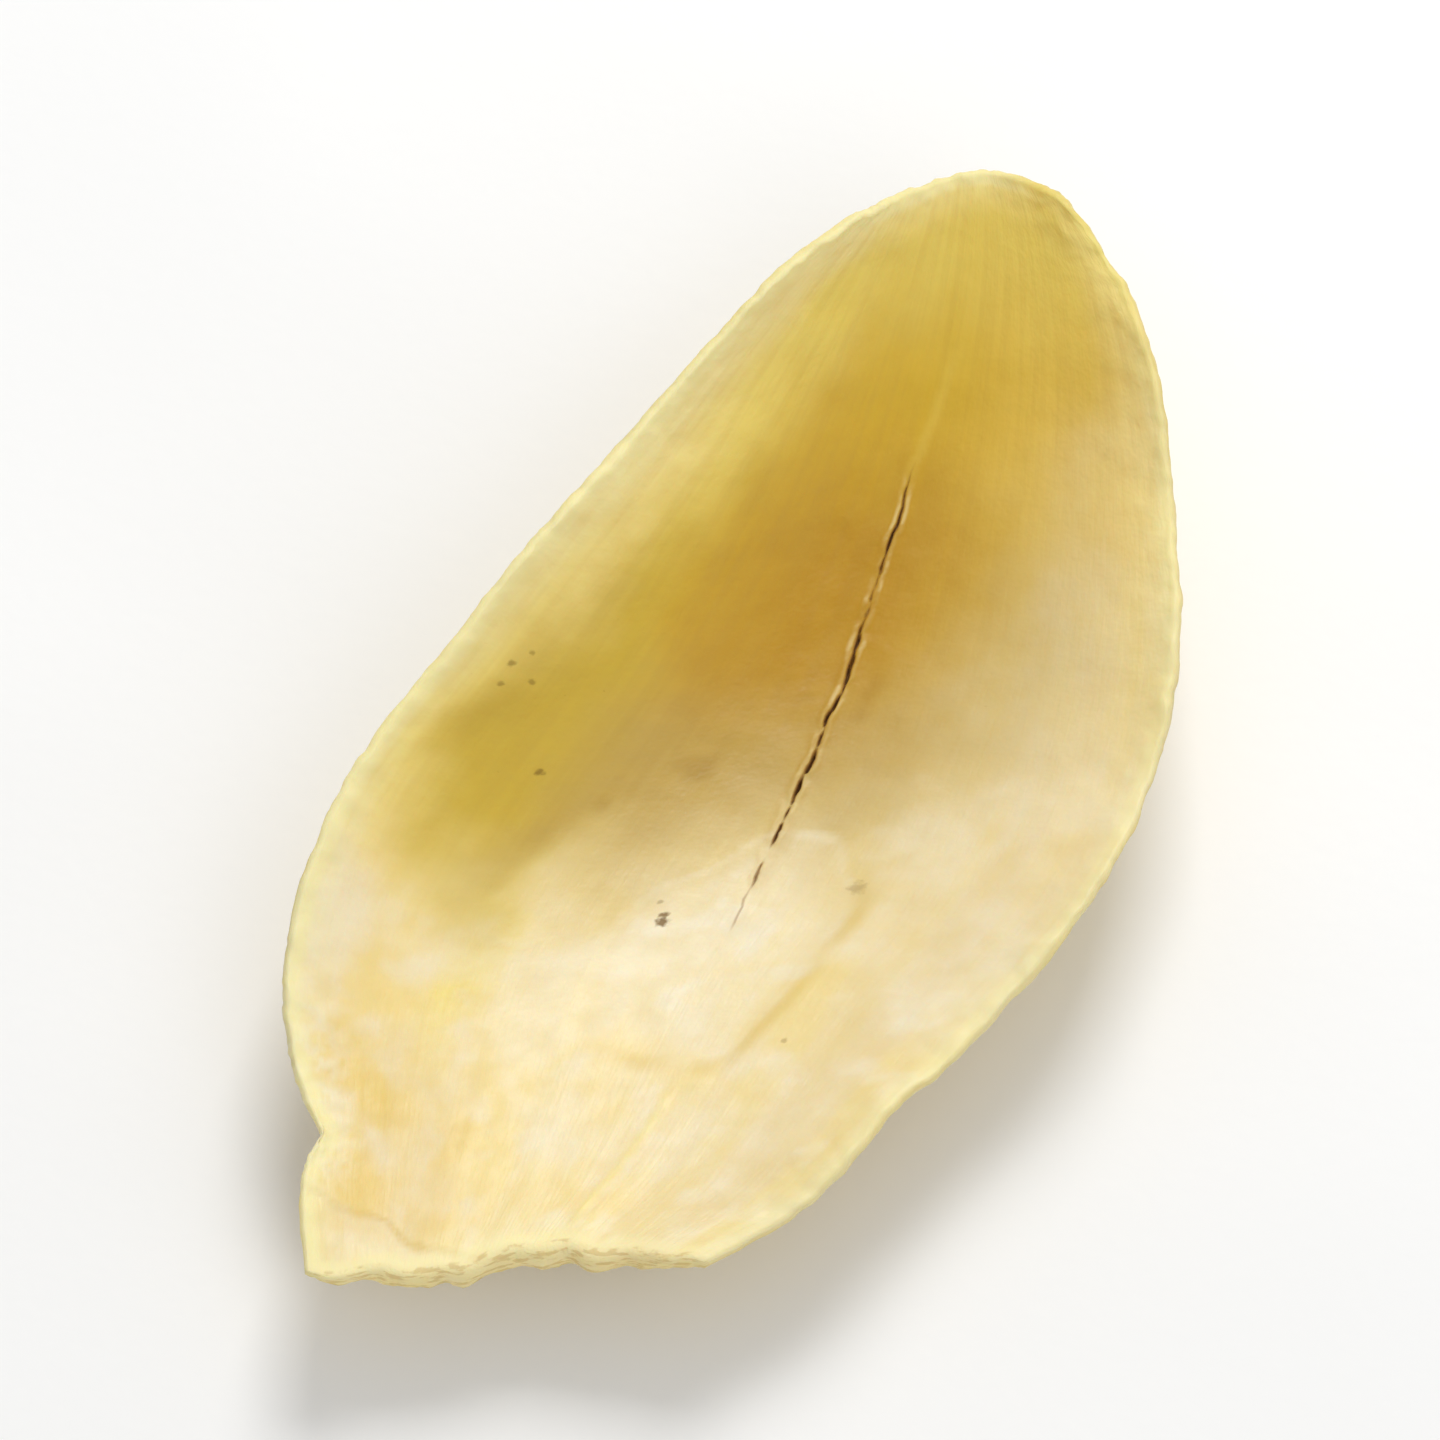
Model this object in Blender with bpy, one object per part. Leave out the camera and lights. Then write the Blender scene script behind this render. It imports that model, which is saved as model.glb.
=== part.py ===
"""A dried lily bulb slice: one scale of the bulb, a cupped blade that lies on its convex back.

The inner face is a plan outline, filled with a grid whose columns run with the veins and lean with the
split, and lifted by height stations. The outer face lies one flesh thickness below it, along the normals,
with low ribs and a small flat spot to rest on. A rounded rim joins the two faces into one closed solid.
Metres, +Z up, +Y from the broken base to the tip. Left and right are seen from above, tip away.
"""

import math

import bpy
import numpy as np

MM = 0.001

# Outline seen from above, in millimetres: from the base's left corner round the tip to its right corner
MARGIN = (
    (-7.0, 0.0),
    (-10.0, 5.6),
    (-12.3, 10.8),
    (-12.8, 16.6),
    (-10.8, 25.1),
    (-9.2, 31.0),
    (-7.4, 37.4),
    (-5.3, 43.2),
    (-3.2, 47.0),
    (-0.8, 49.0),
    (2.0, 48.6),
    (5.0, 46.4),
    (7.8, 42.8),
    (10.5, 37.6),
    (12.4, 32.6),
    (13.1, 27.3),
    (12.6, 22.4),
    (11.0, 17.6),
    (9.4, 13.0),
    (7.8, 8.9),
    (5.4, 5.3),
)
# The broken base edge, from the left corner to the right one
BASE_EDGE = (
    (-7.0, 0.0),
    (-4.4, 1.3),
    (-1.4, 3.4),
    (2.2, 5.0),
    (5.4, 5.3),
)
# Shares of the margin's length between which it counts as the tip, where the columns end
TIP_FROM = 0.455
TIP_TO = 0.540

# Cupping, in millimetres: share of the length, height of the midline, height of the left and right walls
STATIONS = (
    (0.00, 2.9, 0.6, 0.7),
    (0.15, 1.4, 2.0, 2.2),
    (0.30, 0.5, 3.7, 3.3),
    (0.45, 0.0, 5.6, 4.2),
    (0.60, 0.3, 5.8, 4.2),
    (0.75, 1.6, 4.8, 3.5),
    (0.90, 3.9, 2.5, 2.0),
    (1.00, 5.6, 0.7, 0.6),
)
LEFT_WALL_POWER = 2.3  # a higher power keeps the floor flat and the wall steep
RIGHT_WALL_POWER = 1.9

# Flesh
FLESH_THICKNESS = 1.9 * MM  # in the lower middle
TIP_THICKNESS = 1.1 * MM  # at the tip, behind its rim
MARGIN_THICKNESS = 0.7 * MM
BASE_THICKNESS = 1.0 * MM  # at the broken edge
BASE_TAPER = 0.28  # share of the length over which the flesh thins towards the broken edge
TIP_TAPER = 0.55  # share of the length from which it thins towards the tip
TIP_RIM = 0.93  # share of the length from which it thins to the rim round the tip
MARGIN_POWER = 2.6  # a higher power keeps the thin margin narrow
RIM_ROUNDNESS = 0.8  # how far the rim bulges, as a share of half its thickness

# Wavy margins: number of waves along the blade, and where in a wave they start
WAVE_HEIGHT = 0.28 * MM
WAVES_LEFT = (3.4, 0.15)
WAVES_RIGHT = (4.3, 0.55)
WAVE_POWER = 5  # how soon the waves fade inwards

# Torn places: share of the length, depth of the notch, and its half length as a share of the length
LEFT_NICK = (0.125, 1.1 * MM, 0.035)
RIGHT_NICK = (0.19, 0.30 * MM, 0.035)
NICK_POWER = 9  # how soon a notch fades inwards
RAGGED_DEPTH = 0.18 * MM  # unevenness of the broken base edge
RAGGED_WAVES = ((1.0, 8.0, 0.6), (0.6, 19.0, 2.1))  # share, radians across the half width, start
RAGGED_POWER = 14  # how soon it fades towards the tip

# Low ribs on the back, where the vein bundles stand out
RIB_COUNT = 9
RIB_HEIGHT = 0.16 * MM
RIB_SPREAD = 0.035  # how unevenly they are spaced, as a share of the half width
RIB_END = 0.75  # share of the length from which they fade out

# Split in the hollow's floor, which follows the veins
CRACK_FROM = 0.38
CRACK_TO = 0.76
CRACK_WIDEST = 0.50
CRACK_PATH = (  # share of the length, and share of the half width right of the midline
    (0.33, 0.155),
    (0.42, 0.104),
    (0.50, 0.066),
    (0.60, 0.034),
    (0.70, 0.026),
    (0.76, 0.036),
    (0.86, 0.110),
)
CRACK_MIDDLE = 0.06  # where its columns stand before they lean with its path
LEAN_REACH = 0.35  # share of the half width over which the columns lean
CRACK_HALF_WIDTH = 0.014  # share of the half width
CRACK_DEPTH = 0.55 * MM
CRACK_STEP = 0.14 * MM  # sideways steps of the split
CRACK_STEPS = ((1.0, 71.0, 0.0), (0.6, 29.0, 1.0))  # share, radians along the blade, start
CRACK_REACH = 0.05  # share of the half width over which the steps fade out

# Shallow dimple at the hollow's lower end. Its edge runs between two shares of its size: a gentle
# slope on the upper left, and a crease on the lower right
DIMPLE_ALONG = 0.315
DIMPLE_ACROSS = 0.15
DIMPLE_LENGTH = 0.115
DIMPLE_WIDTH = 0.31
DIMPLE_WOBBLE = ((0.07, 3, 1.0), (0.05, 5, 2.6))  # share, lobes, start of its uneven outline
DIMPLE_DEPTH = 0.22 * MM
DIMPLE_SLOPE = (0.35, 1.35)
DIMPLE_CREASE = (0.80, 1.10)

# Flat spot on the back, where the slice rests
FLAT_DIP = 0.30 * MM  # height that the belly loses to it

# The grid
ROWS = 52
ROW_CROWDING = 0.2  # how much closer the rows stand at the tip, where the outline turns
COLUMNS = 38

# Colour of the dried flesh
FLESH_COLOUR = (0.75, 0.56, 0.20, 1.0)
FLESH_ROUGHNESS = 0.45


def smooth_through(knots, values, at):
    """Values at the places given, on a smooth curve through the values at the knots."""
    knots = np.asarray(knots, float)
    values = np.asarray(values, float)
    slopes = np.gradient(values, knots, axis=0)
    piece = np.clip(np.searchsorted(knots, at, side="right") - 1, 0, len(knots) - 2)
    span = knots[piece + 1] - knots[piece]
    t = (at - knots[piece]) / span
    if values.ndim == 2:
        span = span[:, None]
        t = t[:, None]
    return (
        (2 * t**3 - 3 * t**2 + 1) * values[piece]
        + (t**3 - 2 * t**2 + t) * span * slopes[piece]
        + (3 * t**2 - 2 * t**3) * values[piece + 1]
        + (t**3 - t**2) * span * slopes[piece + 1]
    )


def smooth_step(low, high, values):
    """0 below low, 1 above high, and a smooth rise between them."""
    share = np.clip((values - low) / (high - low), 0.0, 1.0)
    return share * share * (3.0 - 2.0 * share)


def bump(values, middle, half_width):
    """1 at the middle, fading smoothly to nothing on either side."""
    return np.exp(-(((values - middle) / half_width) ** 2))


def wave_sum(values, waves):
    """Sum of sine waves, each given as its share, its radians per unit and its start."""
    return sum(share * np.sin(rate * values + start) for share, rate, start in waves)


def along_outline(points, shares):
    """Places at shares 0 to 1 of the length of a smooth line through the points."""
    steps = np.linalg.norm(np.diff(points, axis=0), axis=1)
    reached = np.concatenate([[0.0], np.cumsum(steps)]) / steps.sum()
    return smooth_through(reached, points, shares)


def crack_share(along):
    """How open the split is along the blade: 0 at its ends, 1 where it is widest."""
    opens = smooth_step(CRACK_FROM, CRACK_WIDEST, along)
    closes = smooth_step(CRACK_WIDEST, CRACK_TO, along)
    return opens * np.sqrt(1 - closes)


def row_places():
    """Shares along the blade, 0 to 1."""
    even = np.linspace(0, 1, ROWS + 1)
    return even + ROW_CROWDING * (even - even**3)


def column_places():
    """Shares across the blade, -1 to 1, with three columns close together for the split."""
    even = np.linspace(-1, 1, COLUMNS + 1)
    near = np.abs(even - CRACK_MIDDLE) < 0.5 / COLUMNS + CRACK_HALF_WIDTH
    split = CRACK_MIDDLE + CRACK_HALF_WIDTH * np.array([-1.0, 0.0, 1.0])
    return np.sort(np.concatenate([even[~near], split]))


def leaning_columns(along, across):
    """Shares across at each grid place: columns near the split lean with its path."""
    path = np.array(CRACK_PATH)
    lean = smooth_through(path[:, 0], path[:, 1], np.clip(along, path[0, 0], path[-1, 0])) - CRACK_MIDDLE
    return across + lean[:, None] * bump(across, CRACK_MIDDLE, LEAN_REACH) * (1 - across**2)


def plan_places(along, c):
    """Plan places of the grid: the outline's four edges, blended across the blade."""
    share = (c + 1) / 2
    left = along_outline(MARGIN, along * TIP_FROM)
    right = along_outline(MARGIN, 1 - along * (1 - TIP_TO))
    tip = along_outline(MARGIN, TIP_FROM + share.ravel() * (TIP_TO - TIP_FROM)).reshape(*share.shape, 2)
    base = along_outline(BASE_EDGE, share.ravel()).reshape(*share.shape, 2)
    a = along[:, None, None]
    b = share[..., None]
    sides = (1 - b) * left[:, None] + b * right[:, None]
    ends = (1 - a) * base + a * tip
    at_base = (1 - b) * base[0, 0] + b * base[0, -1]
    at_tip = (1 - b) * tip[0, 0] + b * tip[0, -1]
    return (sides + ends - (1 - a) * at_base - a * at_tip) * MM


def torn_edges(a, c):
    """How far the nicks and the broken base move each grid place, seen from above."""
    share, depth, half_length = LEFT_NICK
    sideways = depth * bump(a, share, half_length) * np.clip(-c, 0, None) ** NICK_POWER
    share, depth, half_length = RIGHT_NICK
    sideways = sideways - depth * bump(a, share, half_length) * np.clip(c, 0, None) ** NICK_POWER
    endways = RAGGED_DEPTH * wave_sum(c, RAGGED_WAVES) * (1 - a) ** RAGGED_POWER
    return np.dstack([sideways, endways, np.zeros_like(endways)])


def dimple_share(a, c):
    """How deep the dimple is at each place: 1 in its middle, 0 outside."""
    up = (a - DIMPLE_ALONG) / DIMPLE_LENGTH
    right = (c - DIMPLE_ACROSS) / DIMPLE_WIDTH
    angle = np.arctan2(up, right)
    wobble = sum(share * np.sin(lobes * angle + start) for share, lobes, start in DIMPLE_WOBBLE)
    away = np.hypot(up, right) * (1 + wobble)
    creased = smooth_step(-0.4, 0.8, right - up)
    starts = DIMPLE_SLOPE[0] + (DIMPLE_CREASE[0] - DIMPLE_SLOPE[0]) * creased
    ends = DIMPLE_SLOPE[1] + (DIMPLE_CREASE[1] - DIMPLE_SLOPE[1]) * creased
    return 1 - smooth_step(starts, ends, away)


def heights(along, a, c):
    """Heights of the inner face: midline, walls, waves and dimple."""
    stations = np.array(STATIONS)
    lofted = smooth_through(stations[:, 0], stations[:, 1:], along) * MM
    keel, left_wall, right_wall = (lofted[:, part, None] for part in range(3))
    to_left = np.clip(-c, 0, None)
    to_right = np.clip(c, 0, None)
    walls = left_wall * to_left**LEFT_WALL_POWER + right_wall * to_right**RIGHT_WALL_POWER
    waves = 0
    for side, (count, start) in ((to_left, WAVES_LEFT), (to_right, WAVES_RIGHT)):
        waves = waves + side**WAVE_POWER * np.sin(2 * math.pi * (count * a + start))
    return keel + walls + WAVE_HEIGHT * waves - DIMPLE_DEPTH * dimple_share(a, c)


def flesh(a, c):
    """Thickness at each grid place, with the ribs of the back."""
    full = BASE_THICKNESS + (FLESH_THICKNESS - BASE_THICKNESS) * smooth_step(0.0, BASE_TAPER, a)
    full = full + (TIP_THICKNESS - full) * smooth_step(TIP_TAPER, 1.0, a)
    thin = np.maximum(np.abs(c) ** MARGIN_POWER, smooth_step(TIP_RIM, 1.0, a))
    uneven = c + RIB_SPREAD * np.sin(5 * c + 1)
    ribs = 0.5 + 0.5 * np.cos(math.pi * RIB_COUNT * uneven)
    ribs = ribs * (1 - c**4) * (1 - smooth_step(RIB_END, 1.0, a))
    return full + (MARGIN_THICKNESS - full) * thin + RIB_HEIGHT * ribs


def grid_normals(places):
    """Unit normals of the grid, up and inward."""
    normals = np.cross(np.gradient(places, axis=1), np.gradient(places, axis=0))
    # At the tip's two corners the grid's lines run into one another, so the next normals stand in
    normals[-1, :2] = normals[-2, 1]
    normals[-1, -2:] = normals[-2, -2]
    return normals / np.linalg.norm(normals, axis=2, keepdims=True)


def split_floor(a, across):
    """How far the split moves each place of the inner face: down, and in small steps to the sides."""
    opening = crack_share(a)
    groove = np.clip(1 - np.abs(across - CRACK_MIDDLE) / CRACK_HALF_WIDTH, 0, None)
    steps = np.sign(wave_sum(a, CRACK_STEPS))
    sideways = CRACK_STEP * steps * opening * bump(across, CRACK_MIDDLE, CRACK_REACH)
    return np.dstack([sideways, np.zeros_like(sideways), -CRACK_DEPTH * groove * opening])


def blade_faces(along, across):
    """Inner and outer face of the blade, as two grids of points."""
    a = np.repeat(along[:, None], len(across), axis=1)
    c = leaning_columns(along, across)
    inner = np.dstack([plan_places(along, c), heights(along, a, c)])
    outer = inner - grid_normals(inner) * flesh(a, c)[..., None]
    torn = torn_edges(a, c)
    inner += torn + split_floor(a, across)
    outer += torn
    floor = outer[..., 2].min() + FLAT_DIP
    outer[..., 2] = np.maximum(outer[..., 2], floor)
    return inner, outer


def border(rows, columns):
    """Row and column of each border point, once round the grid, anticlockwise from above."""
    there = [(0, c) for c in range(columns)]
    there += [(r, columns - 1) for r in range(1, rows)]
    there += [(rows - 1, c) for c in range(columns - 2, -1, -1)]
    there += [(r, 0) for r in range(rows - 2, 0, -1)]
    return np.array(there)


def grid_triangles(rows, columns):
    """Triangles of a grid, whose diagonals lean out towards the tip's two corners."""
    triangles = []
    for r in range(rows - 1):
        for c in range(columns - 1):
            near_left = r * columns + c
            near_right = near_left + 1
            far_left = near_left + columns
            far_right = far_left + 1
            if c < columns // 2:
                triangles += [(near_left, near_right, far_left), (near_right, far_right, far_left)]
            else:
                triangles += [(near_left, near_right, far_right), (near_left, far_right, far_left)]
    return triangles


def closed_solid(inner, outer):
    """Points and triangles of the solid between the two faces, with its rounded rim."""
    rows, columns = inner.shape[:2]
    around = border(rows, columns)
    edge = around[:, 0], around[:, 1]
    along_rim = np.roll(inner[edge], -1, axis=0) - np.roll(inner[edge], 1, axis=0)
    along_rim /= np.linalg.norm(along_rim, axis=1, keepdims=True)
    half = (inner[edge] - outer[edge]) / 2
    rim = (inner[edge] + outer[edge]) / 2 + np.cross(along_rim, half) * RIM_ROUNDNESS

    count = rows * columns
    points = np.vstack([inner.reshape(-1, 3), outer.reshape(-1, 3), rim])
    triangles = []
    for one, two, three in grid_triangles(rows, columns):
        triangles.append((one, two, three))
        triangles.append((count + one, count + three, count + two))
    places = around[:, 0] * columns + around[:, 1]
    for here in range(len(places)):
        after = (here + 1) % len(places)
        top = places[here], places[after]
        middle = 2 * count + here, 2 * count + after
        low = count + places[here], count + places[after]
        triangles += [(top[1], top[0], middle[0]), (top[1], middle[0], middle[1])]
        triangles += [(middle[1], middle[0], low[0]), (middle[1], low[0], low[1])]
    return points, triangles


def flesh_material():
    material = bpy.data.materials.new("dried_flesh")
    material.use_nodes = True
    shader = material.node_tree.nodes["Principled BSDF"]
    shader.inputs["Base Color"].default_value = FLESH_COLOUR
    shader.inputs["Roughness"].default_value = FLESH_ROUGHNESS
    shader.inputs["Metallic"].default_value = 0.0
    return material


def make_slice():
    inner, outer = blade_faces(row_places(), column_places())
    points, triangles = closed_solid(inner, outer)
    low = points.min(axis=0)
    high = points.max(axis=0)
    points -= ((low[0] + high[0]) / 2, (low[1] + high[1]) / 2, low[2])
    mesh = bpy.data.meshes.new("lily_bulb_slice")
    mesh.from_pydata(points.tolist(), [], [tuple(map(int, triangle)) for triangle in triangles])
    mesh.shade_smooth()
    mesh.materials.append(flesh_material())
    blade = bpy.data.objects.new("lily_bulb_slice", mesh)
    bpy.context.scene.collection.objects.link(blade)


def main():
    for obj in list(bpy.data.objects):
        bpy.data.objects.remove(obj)
    make_slice()


main()
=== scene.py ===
import math
from functools import partial

import bpy
import numpy as np
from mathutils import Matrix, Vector, kdtree


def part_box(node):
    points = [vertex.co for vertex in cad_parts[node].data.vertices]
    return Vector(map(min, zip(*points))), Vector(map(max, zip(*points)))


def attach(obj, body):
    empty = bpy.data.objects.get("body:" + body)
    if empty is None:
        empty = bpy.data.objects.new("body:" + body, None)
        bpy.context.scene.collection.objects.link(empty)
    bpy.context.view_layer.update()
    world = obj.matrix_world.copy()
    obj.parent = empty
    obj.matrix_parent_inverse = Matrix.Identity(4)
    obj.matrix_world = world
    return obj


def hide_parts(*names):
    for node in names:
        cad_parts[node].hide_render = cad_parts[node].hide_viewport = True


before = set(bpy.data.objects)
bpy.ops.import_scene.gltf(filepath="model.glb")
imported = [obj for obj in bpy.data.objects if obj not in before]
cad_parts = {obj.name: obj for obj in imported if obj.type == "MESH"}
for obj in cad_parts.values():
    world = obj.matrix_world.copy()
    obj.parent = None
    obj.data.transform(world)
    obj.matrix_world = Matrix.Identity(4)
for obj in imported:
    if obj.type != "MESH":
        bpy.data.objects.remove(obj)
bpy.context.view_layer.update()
print("frame loaded")

mm = 0.001
node = "lily_bulb_slice"


# Small helpers for node trees

def addNode(tree, kind, inputs=None, **settings):
    made = tree.nodes.new(kind)
    for name, value in settings.items():
        setattr(made, name, value)
    for name, value in (inputs or {}).items():
        if isinstance(value, bpy.types.NodeSocket):
            tree.links.new(value, made.inputs[name])
        else:
            made.inputs[name].default_value = value
    return made


def calc(tree, operation, *values):
    return addNode(tree, "ShaderNodeMath", dict(enumerate(values)), operation=operation).outputs[0]


def chained(tree, operation):
    # one sum in a tree, over two values or more
    def found(first, *others):
        for other in others:
            first = calc(tree, operation, first, other)
        return first
    return found


def sumsIn(tree):
    # times, plus, minus, per, a straight line and a soft fade, all in one tree
    chains = [chained(tree, operation) for operation in ("MULTIPLY", "ADD", "SUBTRACT", "DIVIDE")]
    return *chains, partial(calc, tree, "MULTIPLY_ADD"), partial(remap, tree)


def vectorCalc(tree, operation, *values):
    made = addNode(tree, "ShaderNodeVectorMath", dict(enumerate(values)), operation=operation)
    return made.outputs["Value" if operation == "DISTANCE" else "Vector"]


def scaled(tree, vector, scale):
    return addNode(tree, "ShaderNodeVectorMath", {0: vector, "Scale": scale}, operation="SCALE").outputs[0]


def combined(tree, x, y, z):
    return addNode(tree, "ShaderNodeCombineXYZ", {"X": x, "Y": y, "Z": z}).outputs[0]


def separated(tree, vector):
    return addNode(tree, "ShaderNodeSeparateXYZ", {0: vector}).outputs


def remap(tree, value, low, high, toLow=0.0, toHigh=1.0):
    inputs = {"Value": value, "From Min": low, "From Max": high, "To Min": toLow, "To Max": toHigh}
    return addNode(tree, "ShaderNodeMapRange", inputs, interpolation_type="SMOOTHSTEP").outputs["Result"]


def mixColour(tree, share, first, second, blend="MIX"):
    made = tree.nodes.new("ShaderNodeMix")
    made.data_type = "RGBA"
    made.blend_type = blend
    wanted = {"Factor_Float": share, "A_Color": first, "B_Color": second}
    for socket in made.inputs:
        value = wanted.get(socket.identifier)
        if isinstance(value, bpy.types.NodeSocket):
            tree.links.new(value, socket)
        elif value is not None:
            socket.default_value = value
    return next(socket for socket in made.outputs if socket.identifier == "Result_Color")


def layOut(tree):
    # nodes stand in columns, each one to the right of all that feed it
    depth = {}
    def depthOf(made):
        if made not in depth:
            depth[made] = 0
            feeding = [link.from_node for socket in made.inputs for link in socket.links]
            depth[made] = 1 + max([depthOf(other) for other in feeding], default=-1)
        return depth[made]
    filled = {}
    for made in tree.nodes:
        column = depthOf(made)
        made.location = (220 * column, -190 * filled.get(column, 0))
        filled[column] = filled.get(column, 0) + 1


# The blade. Its shape repeats the CAD's own values, on a much finer grid. Lengths are in millimetres

blade = {
    "rows": 300,
    "columns": 138,
    "rimSteps": 6,
    "rowCrowding": 0.2,       # rows stand closer at the tip, where the outline turns
    "splitMiddle": 0.06,      # where the crowded columns stand before they lean with the split
    "splitCrowding": 12.0,    # columns stand this much closer beside the split
    "splitCrowdWidth": 0.025,
    "splitLeanWidth": 0.35,
    "leanSmoothing": 8,       # rows to each side
    "marginCrowding": 0.8,
    "soundCrossing": 0.35,    # where the grid's lines cross more flatly than this, a normal is borrowed
    "borrowedFrom": 12,       # neighbours
    # seen from above, from the base's left corner round the tip to its right corner
    "margin": (
        (-7.0, 0.0), (-10.0, 5.6), (-12.3, 10.8), (-12.8, 16.6), (-10.8, 25.1), (-9.2, 31.0), (-7.4, 37.4),
        (-5.3, 43.2), (-3.2, 47.0), (-0.8, 49.0), (2.0, 48.6), (5.0, 46.4), (7.8, 42.8), (10.5, 37.6),
        (12.4, 32.6), (13.1, 27.3), (12.6, 22.4), (11.0, 17.6), (9.4, 13.0), (7.8, 8.9), (5.4, 5.3),
    ),
    "baseEdge": ((-7.0, 0.0), (-4.4, 1.3), (-1.4, 3.4), (2.2, 5.0), (5.4, 5.3)),
    "tipShares": (0.455, 0.540),  # shares of the margin's length that count as the tip
    # share of the length, height of the midline, of the left wall and of the right wall
    "stations": (
        (0.00, 2.9, 0.6, 0.7), (0.15, 1.4, 2.0, 2.2), (0.30, 0.5, 3.7, 3.3), (0.45, 0.0, 5.6, 4.2),
        (0.60, 0.3, 5.8, 4.2), (0.75, 1.6, 4.8, 3.5), (0.90, 3.9, 2.5, 2.0), (1.00, 5.6, 0.7, 0.6),
    ),
    "wallPowers": (2.3, 1.9),     # left, right
    "flesh": 1.9,
    "fleshAtTip": 1.1,
    "fleshAtMargin": 0.42,        # the CAD's solid is thicker here, at 0.7
    "fleshAtBase": 1.0,
    "baseTaper": 0.28,
    "tipTaper": 0.55,
    "tipRim": 0.93,
    "marginPower": 2.6,
    "rimRoundness": 0.8,
    "waveHeight": 0.28,
    "wavesLeft": (3.4, 0.15),     # waves along the blade, and where in a wave they start
    "wavesRight": (4.3, 0.55),
    "wavePower": 5,
    "leftNick": (0.125, 1.1, 0.035),    # share of the length, depth, half length as a share
    "rightNick": (0.19, 0.30, 0.035),
    "nickPower": 9,
    "notchPower": 1.25,
    "raggedDepth": 0.18,
    "raggedWaves": ((1.0, 8.0, 0.6), (0.6, 19.0, 2.1)),
    "raggedPower": 14,
    "dimple": (0.315, 0.15),      # along, across
    "dimpleSize": (0.115, 0.31),
    "dimpleWobble": ((0.07, 3, 1.0), (0.05, 5, 2.6), (0.025, 9, 0.4)),    # share, lobes, turn
    "dimpleDepth": 0.22,
    "dimpleSlope": (0.35, 1.35),
    "dimpleCrease": (0.80, 1.10),
    "creaseTurn": (-0.4, 0.8),    # how the slope turns into a crease towards the lower right
    "flatDip": 0.30,
    # the split: along, across and half width in millimetres
    "splitPath": (
        (0.330, 0.155, 0.00), (0.370, 0.122, 0.015), (0.420, 0.104, 0.035), (0.460, 0.082, 0.055),
        (0.500, 0.066, 0.070), (0.540, 0.044, 0.045), (0.560, 0.050, 0.060), (0.600, 0.034, 0.045),
        (0.650, 0.020, 0.040), (0.700, 0.026, 0.035), (0.760, 0.036, 0.015), (0.860, 0.110, 0.00),
    ),
    "splitEnds": (0.355, 0.775),
    "splitFade": 0.04,
    "splitDepth": 0.36,
}


def smoothThrough(knots, values, at):
    knots = np.asarray(knots, float)
    values = np.asarray(values, float)
    slopes = np.gradient(values, knots, axis=0)
    piece = np.clip(np.searchsorted(knots, at, side="right") - 1, 0, len(knots) - 2)
    span = knots[piece + 1] - knots[piece]
    t = (at - knots[piece]) / span
    if values.ndim == 2:
        span = span[:, None]
        t = t[:, None]
    return (
        (2 * t**3 - 3 * t**2 + 1) * values[piece]
        + (t**3 - 2 * t**2 + t) * span * slopes[piece]
        + (3 * t**2 - 2 * t**3) * values[piece + 1]
        + (t**3 - t**2) * span * slopes[piece + 1]
    )


def smoothStep(low, high, values):
    share = np.clip((values - low) / (high - low), 0.0, 1.0)
    return share * share * (3.0 - 2.0 * share)


def hump(values, middle, halfWidth):
    return np.exp(-(((values - middle) / halfWidth) ** 2))


def notch(values, middle, halfWidth):
    return np.exp(-((np.abs(values - middle) / halfWidth) ** blade["notchPower"]))


def waveSum(values, waves):
    return sum(share * np.sin(rate * values + start) for share, rate, start in waves)


def alongOutline(points, shares):
    steps = np.linalg.norm(np.diff(points, axis=0), axis=1)
    reached = np.concatenate([[0.0], np.cumsum(steps)]) / steps.sum()
    return smoothThrough(reached, points, shares)


def rowPlaces():
    even = np.linspace(0, 1, blade["rows"] + 1)
    return even + blade["rowCrowding"] * (even - even**3)


def columnPlaces():
    # even steps of a crowding that peaks at the split and rises towards the margins
    fine = np.linspace(-1, 1, 4001)
    crowding = 1 + blade["splitCrowding"] * hump(fine, blade["splitMiddle"], blade["splitCrowdWidth"])
    crowding += blade["marginCrowding"] * fine**8
    reached = np.concatenate([[0.0], np.cumsum((crowding[1:] + crowding[:-1]) / 2)])
    return np.interp(np.linspace(0, reached[-1], blade["columns"] + 1), reached, fine)


def warpedAcross(along, across):
    # the columns beside the split lean with it, and the others stay straight
    path = np.array(blade["splitPath"])
    lean = np.interp(along, path[:, 0], path[:, 1]) - blade["splitMiddle"]
    rows = blade["leanSmoothing"]
    evened = np.full(2 * rows + 1, 1 / (2 * rows + 1))
    smooth = np.convolve(np.pad(lean, rows, mode="edge"), evened, mode="valid")
    reach = hump(across, blade["splitMiddle"], blade["splitLeanWidth"]) * (1 - across**2)
    return across[None, :] + smooth[:, None] * reach[None, :]


def planPlaces(along, across):
    share = (across + 1) / 2
    tipFrom, tipTo = blade["tipShares"]
    margin = blade["margin"]
    left = alongOutline(margin, along * tipFrom)[:, None]
    right = alongOutline(margin, 1 - along * (1 - tipTo))[:, None]
    flat = share.ravel()
    tip = alongOutline(margin, tipFrom + flat * (tipTo - tipFrom)).reshape(*share.shape, 2)
    base = alongOutline(blade["baseEdge"], flat).reshape(*share.shape, 2)
    corners = [np.array(blade["baseEdge"][0]), np.array(blade["baseEdge"][-1])]
    corners += list(alongOutline(margin, np.array([tipFrom, tipTo])))
    a = along[:, None, None]
    b = share[..., None]
    sides = (1 - b) * left + b * right
    ends = (1 - a) * base + a * tip
    both = (1 - a) * ((1 - b) * corners[0] + b * corners[1]) + a * ((1 - b) * corners[2] + b * corners[3])
    return sides + ends - both


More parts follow.
